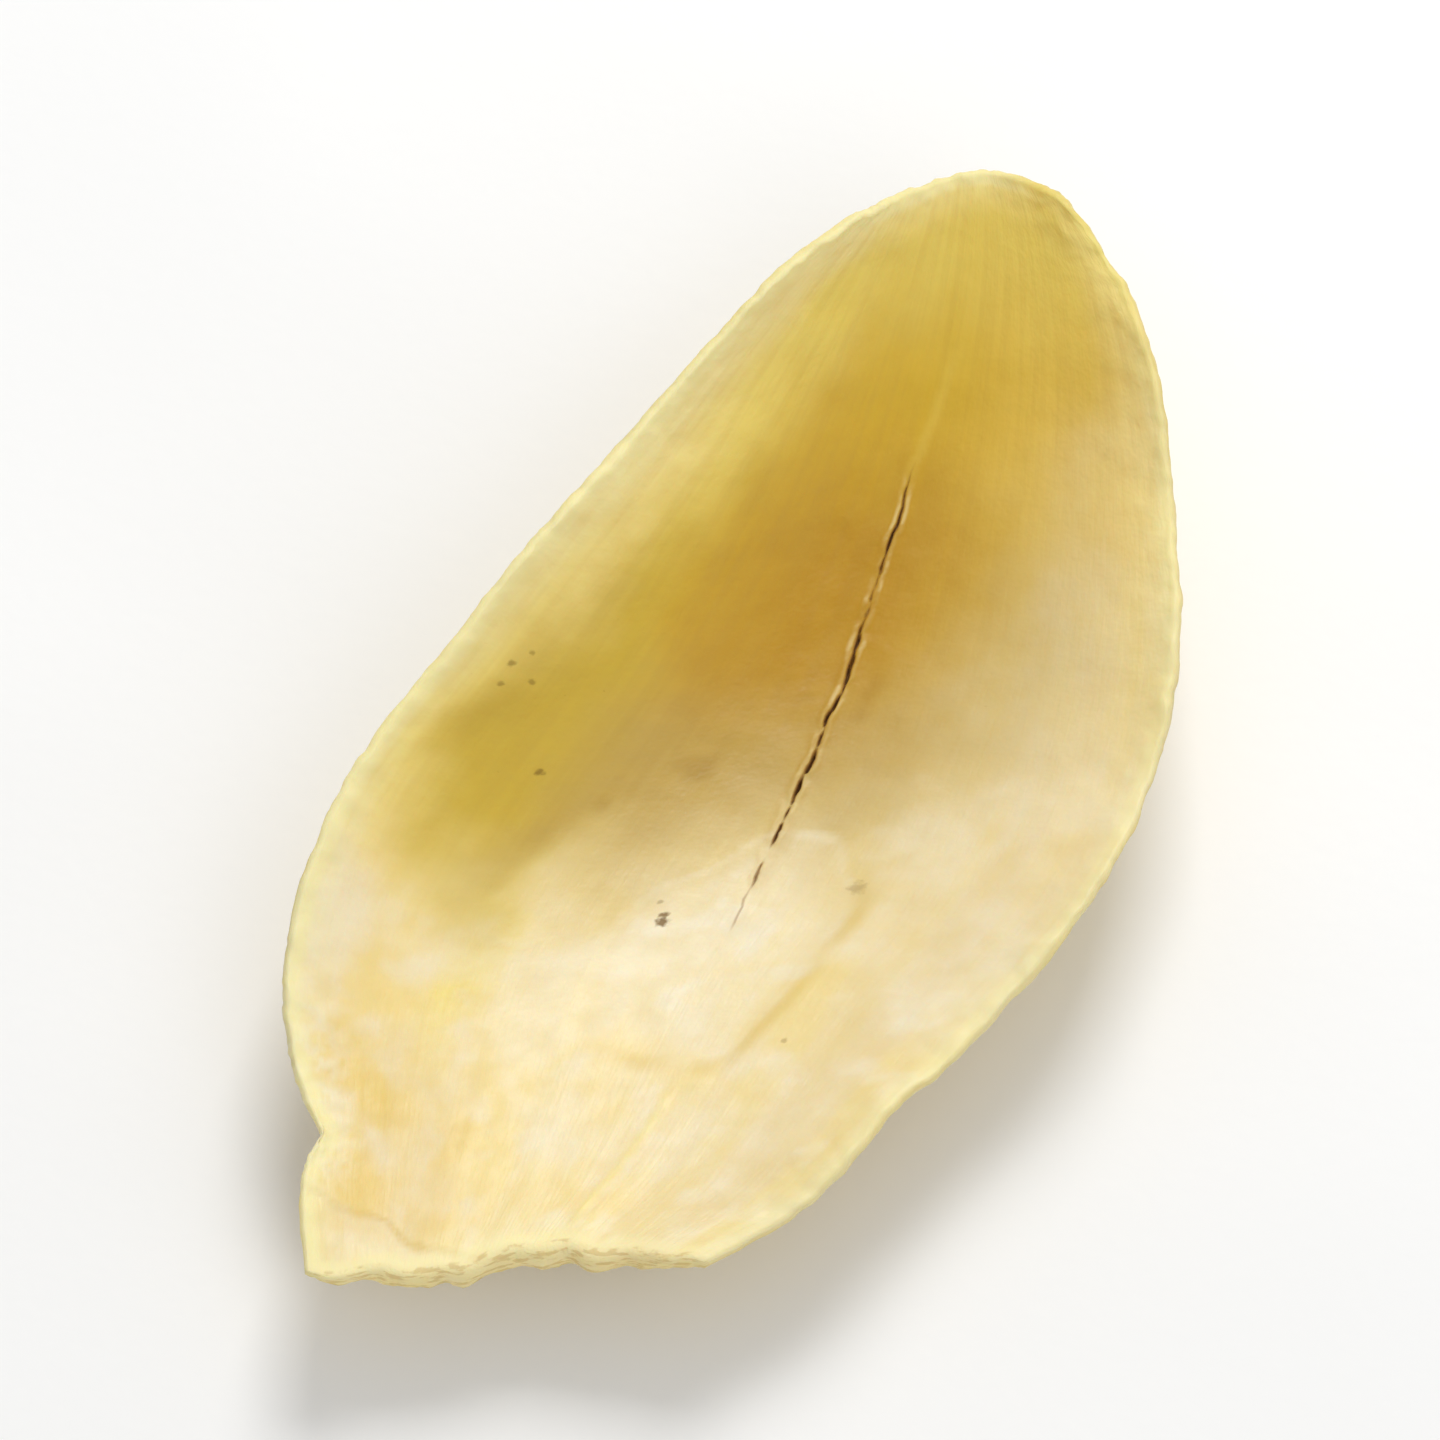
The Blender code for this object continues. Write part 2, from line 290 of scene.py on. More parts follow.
def tornEdges(a, c):
    share, depth, halfLength = blade["leftNick"]
    sideways = depth * notch(a, share, halfLength) * np.clip(-c, 0, None) ** blade["nickPower"]
    share, depth, halfLength = blade["rightNick"]
    sideways = sideways - depth * hump(a, share, halfLength) * np.clip(c, 0, None) ** blade["nickPower"]
    endways = blade["raggedDepth"] * waveSum(c, blade["raggedWaves"]) * (1 - a) ** blade["raggedPower"]
    return np.dstack([sideways, endways, np.zeros_like(endways)])


def dimplePlace(a, c):
    # distance from the dimple's middle, 1 at its edge, and how far that edge is a crease
    up = (a - blade["dimple"][0]) / blade["dimpleSize"][0]
    right = (c - blade["dimple"][1]) / blade["dimpleSize"][1]
    angle = np.arctan2(up, right)
    wobble = 1 + waveSum(angle, blade["dimpleWobble"])
    return np.hypot(up, right) * wobble, smoothStep(*blade["creaseTurn"], right - up)


def dimpleShare(a, c):
    away, creased = dimplePlace(a, c)
    slope = blade["dimpleSlope"]
    crease = blade["dimpleCrease"]
    starts = slope[0] + (crease[0] - slope[0]) * creased
    ends = slope[1] + (crease[1] - slope[1]) * creased
    return 1 - smoothStep(starts, ends, away)


def heights(along, a, c):
    stations = np.array(blade["stations"])
    lofted = smoothThrough(stations[:, 0], stations[:, 1:], along)
    keel, leftWall, rightWall = (lofted[:, part, None] for part in range(3))
    toLeft = np.clip(-c, 0, None)
    toRight = np.clip(c, 0, None)
    leftPower, rightPower = blade["wallPowers"]
    walls = leftWall * toLeft**leftPower + rightWall * toRight**rightPower
    waves = 0
    for side, (count, start) in ((toLeft, blade["wavesLeft"]), (toRight, blade["wavesRight"])):
        waves = waves + side ** blade["wavePower"] * np.sin(2 * math.pi * (count * a + start))
    return keel + walls + blade["waveHeight"] * waves - blade["dimpleDepth"] * dimpleShare(a, c)


def fleshAt(a, c):
    atBase = blade["fleshAtBase"]
    full = atBase + (blade["flesh"] - atBase) * smoothStep(0, blade["baseTaper"], a)
    full = full + (blade["fleshAtTip"] - full) * smoothStep(blade["tipTaper"], 1.0, a)
    thin = np.maximum(np.abs(c) ** blade["marginPower"], smoothStep(blade["tipRim"], 1.0, a))
    return full + (blade["fleshAtMargin"] - full) * thin


def gridNormals(places):
    sideways = np.gradient(places, axis=1)
    endways = np.gradient(places, axis=0)
    normals = np.cross(sideways, endways)
    size = np.linalg.norm(normals, axis=2)
    crossing = size / (np.linalg.norm(sideways, axis=2) * np.linalg.norm(endways, axis=2) + 1e-12)
    normals /= size[..., None] + 1e-12
    # at the tip's two corners the grid's lines run into one another, so the nearest sound normals stand in
    sound = np.argwhere(crossing > blade["soundCrossing"])
    near = kdtree.KDTree(len(sound))
    for index, (r, c) in enumerate(sound):
        near.insert(Vector(places[r, c]), index)
    near.balance()
    for r, c in np.argwhere(crossing <= blade["soundCrossing"]):
        nearest = near.find_n(Vector(places[r, c]), blade["borrowedFrom"])
        mean = np.mean([normals[tuple(sound[index])] for _, index, _ in nearest], axis=0)
        normals[r, c] = mean / np.linalg.norm(mean)
    return normals


def bladeFaces():
    along = rowPlaces()
    across = columnPlaces()
    a = np.repeat(along[:, None], len(across), axis=1)
    c = warpedAcross(along, across)
    inner = np.dstack([planPlaces(along, c), heights(along, a, c)])
    outer = inner - gridNormals(inner) * fleshAt(a, c)[..., None]
    torn = tornEdges(a, c)
    inner = inner + torn
    outer = outer + torn
    floor = outer[..., 2].min() + blade["flatDip"]
    outer[..., 2] = np.maximum(outer[..., 2], floor)
    return inner, outer, a, c


def borderOf(rows, columns):
    there = [(0, c) for c in range(columns)]
    there += [(r, columns - 1) for r in range(1, rows)]
    there += [(rows - 1, c) for c in range(columns - 2, -1, -1)]
    there += [(r, 0) for r in range(rows - 2, 0, -1)]
    return np.array(there)


def splitAt(a, c, inner):
    # signed distance from the split's middle line, and its half width there
    path = np.array(blade["splitPath"])
    middle = np.interp(a, path[:, 0], path[:, 1])
    width = np.interp(a, path[:, 0], path[:, 2])
    start, end = blade["splitEnds"]
    fade = blade["splitFade"]
    width = width * smoothStep(start, start + fade, a) * (1 - smoothStep(end - fade, end, a))
    leftX = inner[:, :1, 0]
    rightX = inner[:, -1:, 0]
    return (c - middle) * (rightX - leftX) / 2, width


def makeBladeMesh():
    inner, outer, a, c = bladeFaces()
    rows, columns = a.shape
    around = borderOf(rows, columns)
    edge = around[:, 0], around[:, 1]
    alongRim = np.roll(inner[edge], -1, axis=0) - np.roll(inner[edge], 1, axis=0)
    alongRim /= np.linalg.norm(alongRim, axis=1, keepdims=True)
    half = (inner[edge] - outer[edge]) / 2
    outward = np.cross(alongRim, half) * blade["rimRoundness"]
    middle = (inner[edge] + outer[edge]) / 2

    steps = blade["rimSteps"]
    turns = [math.pi * step / steps for step in range(1, steps)]
    rings = [middle + half * math.cos(turn) + outward * math.sin(turn) for turn in turns]
    points = np.vstack([inner.reshape(-1, 3), outer.reshape(-1, 3), *rings])

    count = rows * columns
    ring = len(around)
    r, q = np.meshgrid(np.arange(rows - 1), np.arange(columns - 1), indexing="ij")
    near = (r * columns + q).ravel()
    innerFaces = np.stack([near, near + 1, near + columns + 1, near + columns], axis=1)
    faces = [innerFaces, innerFaces[:, ::-1] + count]
    places = around[:, 0] * columns + around[:, 1]
    between = [2 * count + ring * step + np.arange(ring) for step in range(steps - 1)]
    lines = [places, *between, places + count]
    for top, low in zip(lines, lines[1:]):
        faces.append(np.stack([np.roll(top, -1), top, low, np.roll(low, -1)], axis=1))
    faces = np.vstack(faces)

    # centred where the CAD node is
    box = np.array([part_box(node)[0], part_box(node)[1]]) / mm
    low = points.min(axis=0)
    high = points.max(axis=0)
    points = points - ((low[0] + high[0]) / 2, (low[1] + high[1]) / 2, low[2])
    points += ((box[0, 0] + box[1, 0]) / 2, (box[0, 1] + box[1, 1]) / 2, box[0, 2])

    mesh = bpy.data.meshes.new("lilySlice")
    mesh.from_pydata((points * mm).tolist(), [], faces.tolist())

    def spread(values):
        # over both faces and the rings of the rim
        return np.concatenate([values.ravel(), values.ravel(), *[values[edge]] * (steps - 1)])

    distance, width = splitAt(a, c, inner)
    fromDimple, creased = dimplePlace(a, c)
    onRings = [np.full(ring, 0.5 + 0.5 * math.cos(turn)) for turn in turns]
    onHollow = np.concatenate([np.ones(count), np.zeros(count), *onRings])
    edgePoints = kdtree.KDTree(ring)
    for index, place in enumerate(middle):
        edgePoints.insert(Vector(place), index)
    edgePoints.balance()
    toEdge = [edgePoints.find(Vector(place))[2] for place in inner.reshape(-1, 3)]
    toEdge = np.clip(np.reshape(toEdge, (rows, columns)) - fleshAt(a, c) / 2, 0, None)
    toEdge = spread(toEdge)
    toEdge[2 * count:] = 0
    values = {
        "along": spread(a), "across": spread(c), "onHollow": onHollow, "toEdge": toEdge,
        "toSplit": spread(distance), "splitWidth": spread(width),
        "fromDimple": spread(fromDimple), "dimpleCrease": spread(creased),
    }
    for name, found in values.items():
        mesh.attributes.new(name, "FLOAT", "POINT").data.foreach_set("value", found.astype(np.float32))
    return mesh


bladeMesh = makeBladeMesh()
print("blade grid made:", len(bladeMesh.polygons), "faces")


# Relief: what follows or repeats over the blade's surface. Lengths in metres

surfaceWide = 12.5    # half the blade's width and its length, for patterns that are laid over it
surfaceLong = 50.0
backApart = 9.0       # how far a pattern on the back is from that on the hollow

relief = {
    "Vein Count": 34.0,          # fine veins across the blade
    "Vein Height": 0.042 * mm,
    "Back Veins": 1.7,           # how much plainer they are on the back
    "Rib Count": 9.0,            # low ribs on the back
    "Rib Height": 0.16 * mm,
    "Rib Spread": 0.035,
    "Fold Width": 1.1,           # long folds, mostly on the back, in millimetres
    "Fold Length": 11.0,
    "Fold Height": 0.13 * mm,
    "Wrinkle Size": 2.6 * mm,
    "Wrinkle Height": 0.09 * mm,
    "Crinkle Size": 1.3 * mm,    # of the thin rim
    "Crinkle Height": 0.13 * mm,
    "Crinkle Reach": 1.3 * mm,
    "Frill Size": 0.62 * mm,
    "Frill Height": 0.07 * mm,
    "Pit Spacing": 2.4 * mm,
    "Pit Depth": 0.05 * mm,
    "Pits Left Out": 0.72,       # share
    "Split Depth": blade["splitDepth"] * mm,
    "Split Bend": 0.30 * mm,
    "Bend Size": mm / 0.62,
    "Split Teeth": 0.10 * mm,
    "Teeth Size": mm / 1.9,
    "Gape Size": mm / 1.1,       # of the pattern that widens and narrows the split
    "Lip Height": 0.04 * mm,
    "Lip Distance": 0.12 * mm,
    "Lip Width": 0.16 * mm,
    "Layer Step": 0.09 * mm,     # where a thin layer has come off at the base
    "Layer Slope": -0.085,
    "Layer Start": -0.014,
    "Layer Size": mm / 0.48,
    "Layer Raggedness": 0.034,
    "Ridge Across": 0.255,       # as a share of half the blade's width
    "Ridge Width": 0.020,
    "Ridge Sway": 0.015,
    "Ridge Height": 0.07 * mm,
    "Scar Size": 0.55 * mm,
    "Scar Depth": 0.55 * mm,
    "Seed": 4.0,
}


def namedField(tree, name):
    made = addNode(tree, "GeometryNodeInputNamedAttribute", {"Name": name}, data_type="FLOAT")
    return made.outputs["Attribute"]


def noise(tree, vector, scale, detail=2.0, seed=0.0, output="Fac"):
    # the seed shifts the pattern, counted in its own cells
    if not isinstance(seed, bpy.types.NodeSocket):
        seed = (seed, seed, seed)
    shifted = vectorCalc(tree, "ADD", scaled(tree, vector, scale), seed)
    inputs = {"Vector": shifted, "Scale": 1.0, "Detail": detail}
    return addNode(tree, "ShaderNodeTexNoise", inputs).outputs[output]


def startTree(name, sizes):
    tree = bpy.data.node_groups.new(name, "GeometryNodeTree")
    tree.is_modifier = True
    tree.interface.new_socket("Geometry", in_out="INPUT", socket_type="NodeSocketGeometry")
    for size in sizes:
        tree.interface.new_socket(size, in_out="INPUT", socket_type="NodeSocketFloat")
    tree.interface.new_socket("Flesh", in_out="INPUT", socket_type="NodeSocketMaterial")
    tree.interface.new_socket("Geometry", in_out="OUTPUT", socket_type="NodeSocketGeometry")
    return tree, tree.nodes.new("NodeGroupInput").outputs


def endTree(tree, geometry, material):
    smooth = addNode(tree, "GeometryNodeSetShadeSmooth", {"Geometry": geometry}).outputs[0]
    real = addNode(tree, "GeometryNodeRealizeInstances", {"Geometry": smooth}).outputs[0]
    finished = addNode(tree, "GeometryNodeSetMaterial", {"Geometry": real, "Material": material}).outputs[0]
    tree.links.new(finished, tree.nodes.new("NodeGroupOutput").inputs[0])
    layOut(tree)
    return tree


def keepField(tree, geometry, name, field, kind="FLOAT"):
    inputs = {"Geometry": geometry, "Name": name, "Value": field}
    made = addNode(tree, "GeometryNodeStoreNamedAttribute", None, data_type=kind, domain="POINT")
    for socket in made.inputs:
        if socket.enabled and socket.name in inputs:
            value = inputs[socket.name]
            if isinstance(value, bpy.types.NodeSocket):
                tree.links.new(value, socket)
            else:
                socket.default_value = value
    return made.outputs[0]


def surfacePlace(tree, along, across, hollow):
    # a place on the surface in millimetres, with the back set apart from the hollow
    wide = calc(tree, "MULTIPLY", across, surfaceWide)
    long = calc(tree, "MULTIPLY", along, surfaceLong)
    return combined(tree, wide, long, calc(tree, "MULTIPLY_ADD", hollow, -backApart, backApart))


def makeReliefTree():
    tree, entry = startTree("driedRelief", relief)
    times, plus, minus, per, line, fade = sumsIn(tree)
    field = partial(namedField, tree)
    place = tree.nodes.new("GeometryNodeInputPosition").outputs[0]
    normal = tree.nodes.new("GeometryNodeInputNormal").outputs[0]
    along, across, hollow = (field(name) for name in ("along", "across", "onHollow"))
    toEdge, toSplit, splitWidth = (times(field(name), mm) for name in ("toEdge", "toSplit", "splitWidth"))
    back = minus(1.0, hollow)

    def noiseOf(size, detail, seed=entry["Seed"], output="Fac"):
        return noise(tree, place, per(1.0, entry[size]), detail, seed, output)

    def hill(value):
        return calc(tree, "EXPONENT", times(value, value, -1.0))

    # fine veins run with the columns and are plainer on the back and at the base
    veinPlace = combined(tree, times(across, entry["Vein Count"], 0.5), times(along, 3.0), times(hollow, 5.0))
    veins = minus(noise(tree, veinPlace, 1.0, 3.0, entry["Seed"]), 0.5)
    veinShare = calc(tree, "MAXIMUM", times(back, entry["Back Veins"]), fade(along, 0.45, 0.15, 0.35, 1.0))
    veins = times(veins, entry["Vein Height"], veinShare, 3.0)

    # ribs of the back, unevenly spaced
    uneven = times(entry["Rib Spread"], calc(tree, "SINE", line(across, 5.0, 1.0)))
    ribs = calc(tree, "COSINE", times(plus(across, uneven), entry["Rib Count"], math.pi))
    ribs = line(ribs, 0.5, 0.5)
    ribs = times(ribs, minus(1.0, calc(tree, "POWER", calc(tree, "ABSOLUTE", across), 4.0)))
    ribs = times(ribs, fade(along, 1.0, 0.75), back, entry["Rib Height"])

    # long folds and wrinkles left by drying
    foldAcross = per(times(across, surfaceWide), entry["Fold Width"])
    foldAlong = per(times(along, surfaceLong), entry["Fold Length"])
    folds = noise(tree, combined(tree, foldAcross, foldAlong, times(hollow, 7.0)), 1.0, 2.5, 31.0)
    foldShare = line(back, 1.6, 0.4)
    foldHeight = times(minus(folds, 0.5), foldShare, entry["Fold Height"])
    wrinkles = times(minus(noiseOf("Wrinkle Size", 2.5), 0.5), entry["Wrinkle Height"], 2.0)

    # small pits
    pitted = addNode(tree, "ShaderNodeTexVoronoi", {
        "Vector": place, "Scale": per(1.0, entry["Pit Spacing"]), "W": entry["Seed"],
    }, voronoi_dimensions="4D")
    chosen = calc(tree, "GREATER_THAN", separated(tree, pitted.outputs["Color"])[0], entry["Pits Left Out"])
    pits = times(fade(pitted.outputs["Distance"], 0.16, 0.0), chosen)

    # the split: a groove with a raised lip on each side
    bend = minus(noiseOf("Bend Size", 1.0, 5.0), 0.5)
    toSplit = line(bend, entry["Split Bend"], toSplit)
    splitWidth = times(splitWidth, fade(noiseOf("Gape Size", 2.0, 9.0), 0.36, 0.60, 0.15, 1.5))
    teeth = minus(noiseOf("Teeth Size", 3.0), 0.5)
    apart = calc(tree, "ABSOLUTE", line(teeth, times(entry["Split Teeth"], 2.0), toSplit))
    opened = fade(splitWidth, 0.0, 0.05 * mm)
    groove = minus(1.0, calc(tree, "MINIMUM", per(apart, plus(splitWidth, 1e-6)), 1.0))
    groove = times(groove, entry["Split Depth"], fade(splitWidth, 0.0, 0.09 * mm), hollow)
    lip = hill(per(minus(apart, plus(splitWidth, entry["Lip Distance"])), entry["Lip Width"]))
    lip = times(lip, opened, hollow, entry["Lip Height"])

    # the thin rim is crinkled, and frilled at its very edge
    rimShare = calc(tree, "EXPONENT", times(per(toEdge, entry["Crinkle Reach"]), -1.0))
    rimShare = times(rimShare, fade(along, 0.0, 0.10, 0.35, 1.0))
    crinkles = vectorCalc(tree, "SUBTRACT", noiseOf("Crinkle Size", 1.5, output="Color"), (0.5, 0.5, 0.5))
    crinkles = vectorCalc(tree, "MULTIPLY", crinkles, (1.0, 1.0, 1.4))
    crinkles = scaled(tree, crinkles, times(rimShare, entry["Crinkle Height"], 2.0))
    frills = vectorCalc(tree, "SUBTRACT", noiseOf("Frill Size", 2.0, 3.0, "Color"), (0.5, 0.5, 0.5))
    frills = scaled(tree, frills, times(calc(tree, "POWER", rimShare, 2.5), entry["Frill Height"], 2.0))

    # at the left of the base a thin layer has come off along a ragged line
    layerLine = line(across, entry["Layer Slope"], entry["Layer Start"])
    layerNoise = minus(noiseOf("Layer Size", 3.0, 14.0), 0.5)
    layerEdge = minus(along, line(layerNoise, entry["Layer Raggedness"], layerLine))
    layer = times(fade(layerEdge, 0.004, -0.004), hollow)

    # a fine ridge runs from the dimple down to the base
    sway = times(calc(tree, "SINE", times(along, 31.0)), entry["Ridge Sway"])
    fromRidge = plus(across, minus(sway, entry["Ridge Across"]))
    ridge = times(hill(per(fromRidge, entry["Ridge Width"])), hollow)
    ridge = times(ridge, fade(along, 0.005, 0.03), fade(along, 0.19, 0.13))

    # the left margin is torn and rough round its nick
    scar = times(fade(across, -0.72, -0.95), fade(along, 0.05, 0.10), fade(along, 0.32, 0.17))
    scarNoise = noiseOf("Scar Size", 3.0, 21.0)
    scar = times(scar, fade(scarNoise, 0.36, 0.56, 0.15, 1.0))
    rough = times(minus(scarNoise, 0.62), scar, entry["Scar Depth"])

    # all of it fades out where the belly is flat, and nothing sinks below the floor
    out = plus(veins, ribs, wrinkles, foldHeight, lip, rough, times(ridge, entry["Ridge Height"]))
    out = minus(out, groove, times(pits, entry["Pit Depth"]), times(layer, entry["Layer Step"]))
    offset = vectorCalc(tree, "ADD", scaled(tree, normal, out), vectorCalc(tree, "ADD", crinkles, frills))
    free = calc(tree, "MAXIMUM", hollow, fade(separated(tree, place)[2], 0.0, 0.25 * mm))
    inputs = {"Geometry": entry["Geometry"], "Offset": scaled(tree, offset, free)}
    raised = addNode(tree, "GeometryNodeSetPosition", inputs).outputs[0]
    x, y, z = separated(tree, tree.nodes.new("GeometryNodeInputPosition").outputs[0])
    inputs = {"Geometry": raised, "Position": combined(tree, x, y, calc(tree, "MAXIMUM", z, 0.0))}
    raised = addNode(tree, "GeometryNodeSetPosition", inputs).outputs[0]

    # what the colours need to know, with distances in millimetres
    kept = {
        "pitShare": pits, "splitGap": per(minus(apart, splitWidth), mm), "splitOpen": opened,
        "toSplitLine": per(apart, mm), "layerEdge": layerEdge, "scar": scar, "fold": folds, "ridge": ridge,
        "ribShare": per(ribs, entry["Rib Height"]),
    }
    for name, field in kept.items():
        raised = keepField(tree, raised, name, field)
    return endTree(tree, raised, entry["Flesh"])


# Colours and finish of the flesh

# sizes of the slow patterns of colour, in millimetres over the blade
tones = {
    "Wander Size": 4.5,
    "Streak Width": 1.7,
    "Streak Length": 18.0,
    "Cloud Size": 4.5,
    "Patch Size": 2.3,
    "Seed": 2.0,
}

flesh = {
    "cream": (0.90, 0.74, 0.38, 1.0),
    # pale starchy flesh, also used for a painted highlight in the dimple and for painted light on the back's
    # fold tops
    "starch": (0.90, 0.815, 0.61, 1.0),
    "beige": (0.82, 0.68, 0.38, 1.0),
    "streak": (0.88, 0.71, 0.27, 1.0),
    "straw": (0.90, 0.74, 0.17, 1.0),
    # painted shade round the lower and right edges of the hollow
    "khaki": (0.63, 0.48, 0.20, 1.0),
    "mustard": (0.60, 0.41, 0.03, 1.0),
    # also painted shade along the dimple's crease and along the edge of the layer at the base
    "golden": (0.66, 0.43, 0.03, 1.0),
    # partly painted light on the upper left wall
    "lemon": (0.95, 0.80, 0.32, 1.0),
    # also partly painted shade in the hollow's core
    "amber": (0.50, 0.265, 0.012, 1.0),
    # also painted shade between the back's folds and partly in the hollow's core
    "clay": (0.53, 0.355, 0.085, 1.0),
    "olive": (0.79, 0.64, 0.14, 1.0),
    "gold": (0.84, 0.60, 0.12, 1.0),
    # also partly painted light along the upper left margin
    "rim": (0.96, 0.85, 0.46, 1.0),
    "tornBrown": (0.55, 0.36, 0.10, 1.0),
    "crackBrown": (0.30, 0.14, 0.035, 1.0),
    "splitBrown": (0.17, 0.075, 0.02, 1.0),
    "fibreTint": (0.72, 0.60, 0.36, 1.0),
    # brown specks, and also painted shade in the small pits
    "speckTint": (0.23, 0.135, 0.02, 1.0),
    # real stains and flecks, and also painted shade at the left of the base
    "stainTint": (0.76, 0.66, 0.42, 1.0),
    # how strongly each layer of colour is laid, in the order of laying: first those in the tone tree
    "strengths": {
        "broadStreak": 0.42, "leftBase": 0.38, "leftLine": 0.6, "cloud": 0.45, "patch": 0.55,
        "around": 1.0, "strawSide": 0.9, "shallow": 0.9, "deep": 0.95, "leftLow": 0.8, "rightUpper": 0.55,
        "tip": 0.8, "margin": 1.0, "disc": 0.8, "outline": 1.0, "palePatch": 0.5, "baseLeft": 0.32,
        "crease": 0.38, "stain": 0.5, "backRib": 0.55, "foldDip": 0.55, "foldTop": 0.45, "backCloud": 0.3,
        "back": 0.75, "rimBand": 0.4, "leftBand": 0.45, "scar": 0.75, "layer": 0.25, "layerLine": 0.35,
        "ridge": 0.35, "besideSplit": 0.3, "aboveSplit": 1.0, "pit": 0.25,
        # and these in the material
        "fineStreak": 1.0, "fibre": 0.16, "smallCloud": 0.1, "rimLine": 1.0, "torn": 0.45, "lips": 1.0,
        "splitEdge": 0.8, "splitDark": 0.85, "belowSplit": 0.5, "fleck": 0.7, "speck": 1.0,
    },
    "fineStreaks": {"Width": 0.5, "Length": 10.0, "Low": 0.40, "High": 0.66, "Seed": 23.0},
    "smallClouds": {"Size": 1.3, "Low": 0.35, "High": 0.7, "Seed": 47.0},
    "speckEdge": {"Softness": 0.75, "Raggedness": 1.4},
    "roughness": 0.41,            # of plain flesh
    # and what each mask adds to it
    "roughnessChanges": {
        "smallClouds": 0.12, "rimLine": 0.15, "inHollow": -0.03, "cloud": 0.06, "streaks": -0.05,
    },
    "splitRoughness": 0.8,
    "specular": 0.28,
    "subsurface": 0.27,
    "subsurfaceRadius": (1.0, 0.6, 0.25),
    "subsurfaceScale": 1.3 * mm,
    "grainHeight": 0.04 * mm,
    "grainDents": 0.4,
    # where the amber hollow ends: along for each share of the width, and across for each share of the length
    "hollowEnd": (
        (0.0, 0.38), (0.10, 0.36), (0.22, 0.31), (0.30, 0.37),
        (0.40, 0.40), (0.50, 0.43), (0.60, 0.43), (1.0, 0.40),
    ),
    "hollowSide": (
        (0.0, 0.58), (0.40, 0.62), (0.50, 0.68), (0.60, 0.72),
        (0.70, 0.77), (0.78, 0.84), (0.88, 0.97), (1.0, 1.0),
    ),
    # along, across, radius in millimetres and strength
    "specks": (
        (0.3405, -0.048, 0.30, 0.9), (0.3465, -0.056, 0.24, 0.9), (0.359, -0.085, 0.16, 0.4),
        (0.390, 0.400, 0.42, 0.3), (0.455, -0.610, 0.22, 0.6), (0.530, -0.860, 0.19, 0.5),
        (0.512, -0.850, 0.15, 0.4), (0.523, -0.785, 0.18, 0.45), (0.545, -0.835, 0.14, 0.4),
        (0.235, 0.520, 0.18, 0.35),
    ),
    # along, across, half length and half width in millimetres
    "stains": ((0.490, -0.230, 1.0, 0.9), (0.440, -0.400, 0.8, 0.6), (0.560, 0.130, 1.4, 0.7)),
    "palePatches": (
        (0.250, -0.24, 3.4, 2.9), (0.285, -0.93, 3.2, 1.3), (0.430, 0.52, 3.0, 2.0),
        (0.130, 0.42, 2.6, 1.6), (0.370, 0.86, 3.2, 1.6), (0.140, -0.10, 2.2, 1.5),
    ),
}


def layOver(tree, base, layer, tint, *masks, blend="MIX"):
    # one layer of colour, as strong as flesh["strengths"] says where all its masks are
    share = chained(tree, "MULTIPLY")(*masks, flesh["strengths"][layer])
    return mixColour(tree, share, base, flesh[tint] if isinstance(tint, str) else tint, blend)


def curveThrough(tree, value, points):
    made = addNode(tree, "ShaderNodeFloatCurve", {"Value": value})
    line = made.mapping.curves[0].points
    while len(line) < len(points):
        line.new(0.5, 0.5)
    for point, (x, y) in zip(line, points):
        point.location = (x, y)
    made.mapping.update()
    return made.outputs[0]


